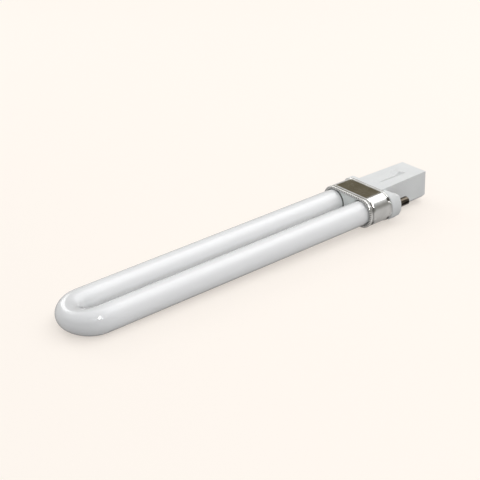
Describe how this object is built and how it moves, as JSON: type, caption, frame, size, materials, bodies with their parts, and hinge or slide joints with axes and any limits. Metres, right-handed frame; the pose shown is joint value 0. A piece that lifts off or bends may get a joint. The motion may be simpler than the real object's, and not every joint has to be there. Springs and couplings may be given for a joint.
{
  "type": "ultraviolet lamp tube",
  "caption": "Compact U-shaped ultraviolet lamp: one bent white-coated glass tube in a metal-sleeved push-in cap with side pins and a square plug.",
  "frame": {"origin": "midway between the two contact pins, on the seating plane where the pin pads end", "axes": "+X along the lamp from the bend towards the end of the plug, +Y across the two tubes, +Z square to both, away from the two chamfered corners of the plug"},
  "size_m": [0.1675, 0.0284, 0.0148],
  "materials": {
    "coated_glass": "glossy glass over an opaque white coating",
    "holder_plastic": "satin moulded plastic",
    "cement": "matt fired cement",
    "nickelled_sleeve": "bright nickel plate",
    "white_plastic": "semi-gloss moulded plastic",
    "pin_metal": "bright rolled sheet",
    "clear_glass": "clear glass",
    "capacitor_coat": "dipped resin",
    "lead_wire": "bare drawn wire"
  },
  "bodies": {
    "root": {"discharge_tube": "coated_glass", "tube_holder": "holder_plastic", "tube_cement": "cement", "metal_sleeve": "nickelled_sleeve", "cap_housing": "white_plastic", "contact_pin_near": "pin_metal", "contact_pin_far": "pin_metal", "starter_bottle": "clear_glass", "starter_capacitor": "capacitor_coat", "pin_wire_near": "lead_wire", "pin_wire_far": "lead_wire", "starter_wire_near": "lead_wire", "starter_wire_far": "lead_wire"}
  },
  "joints": []
}
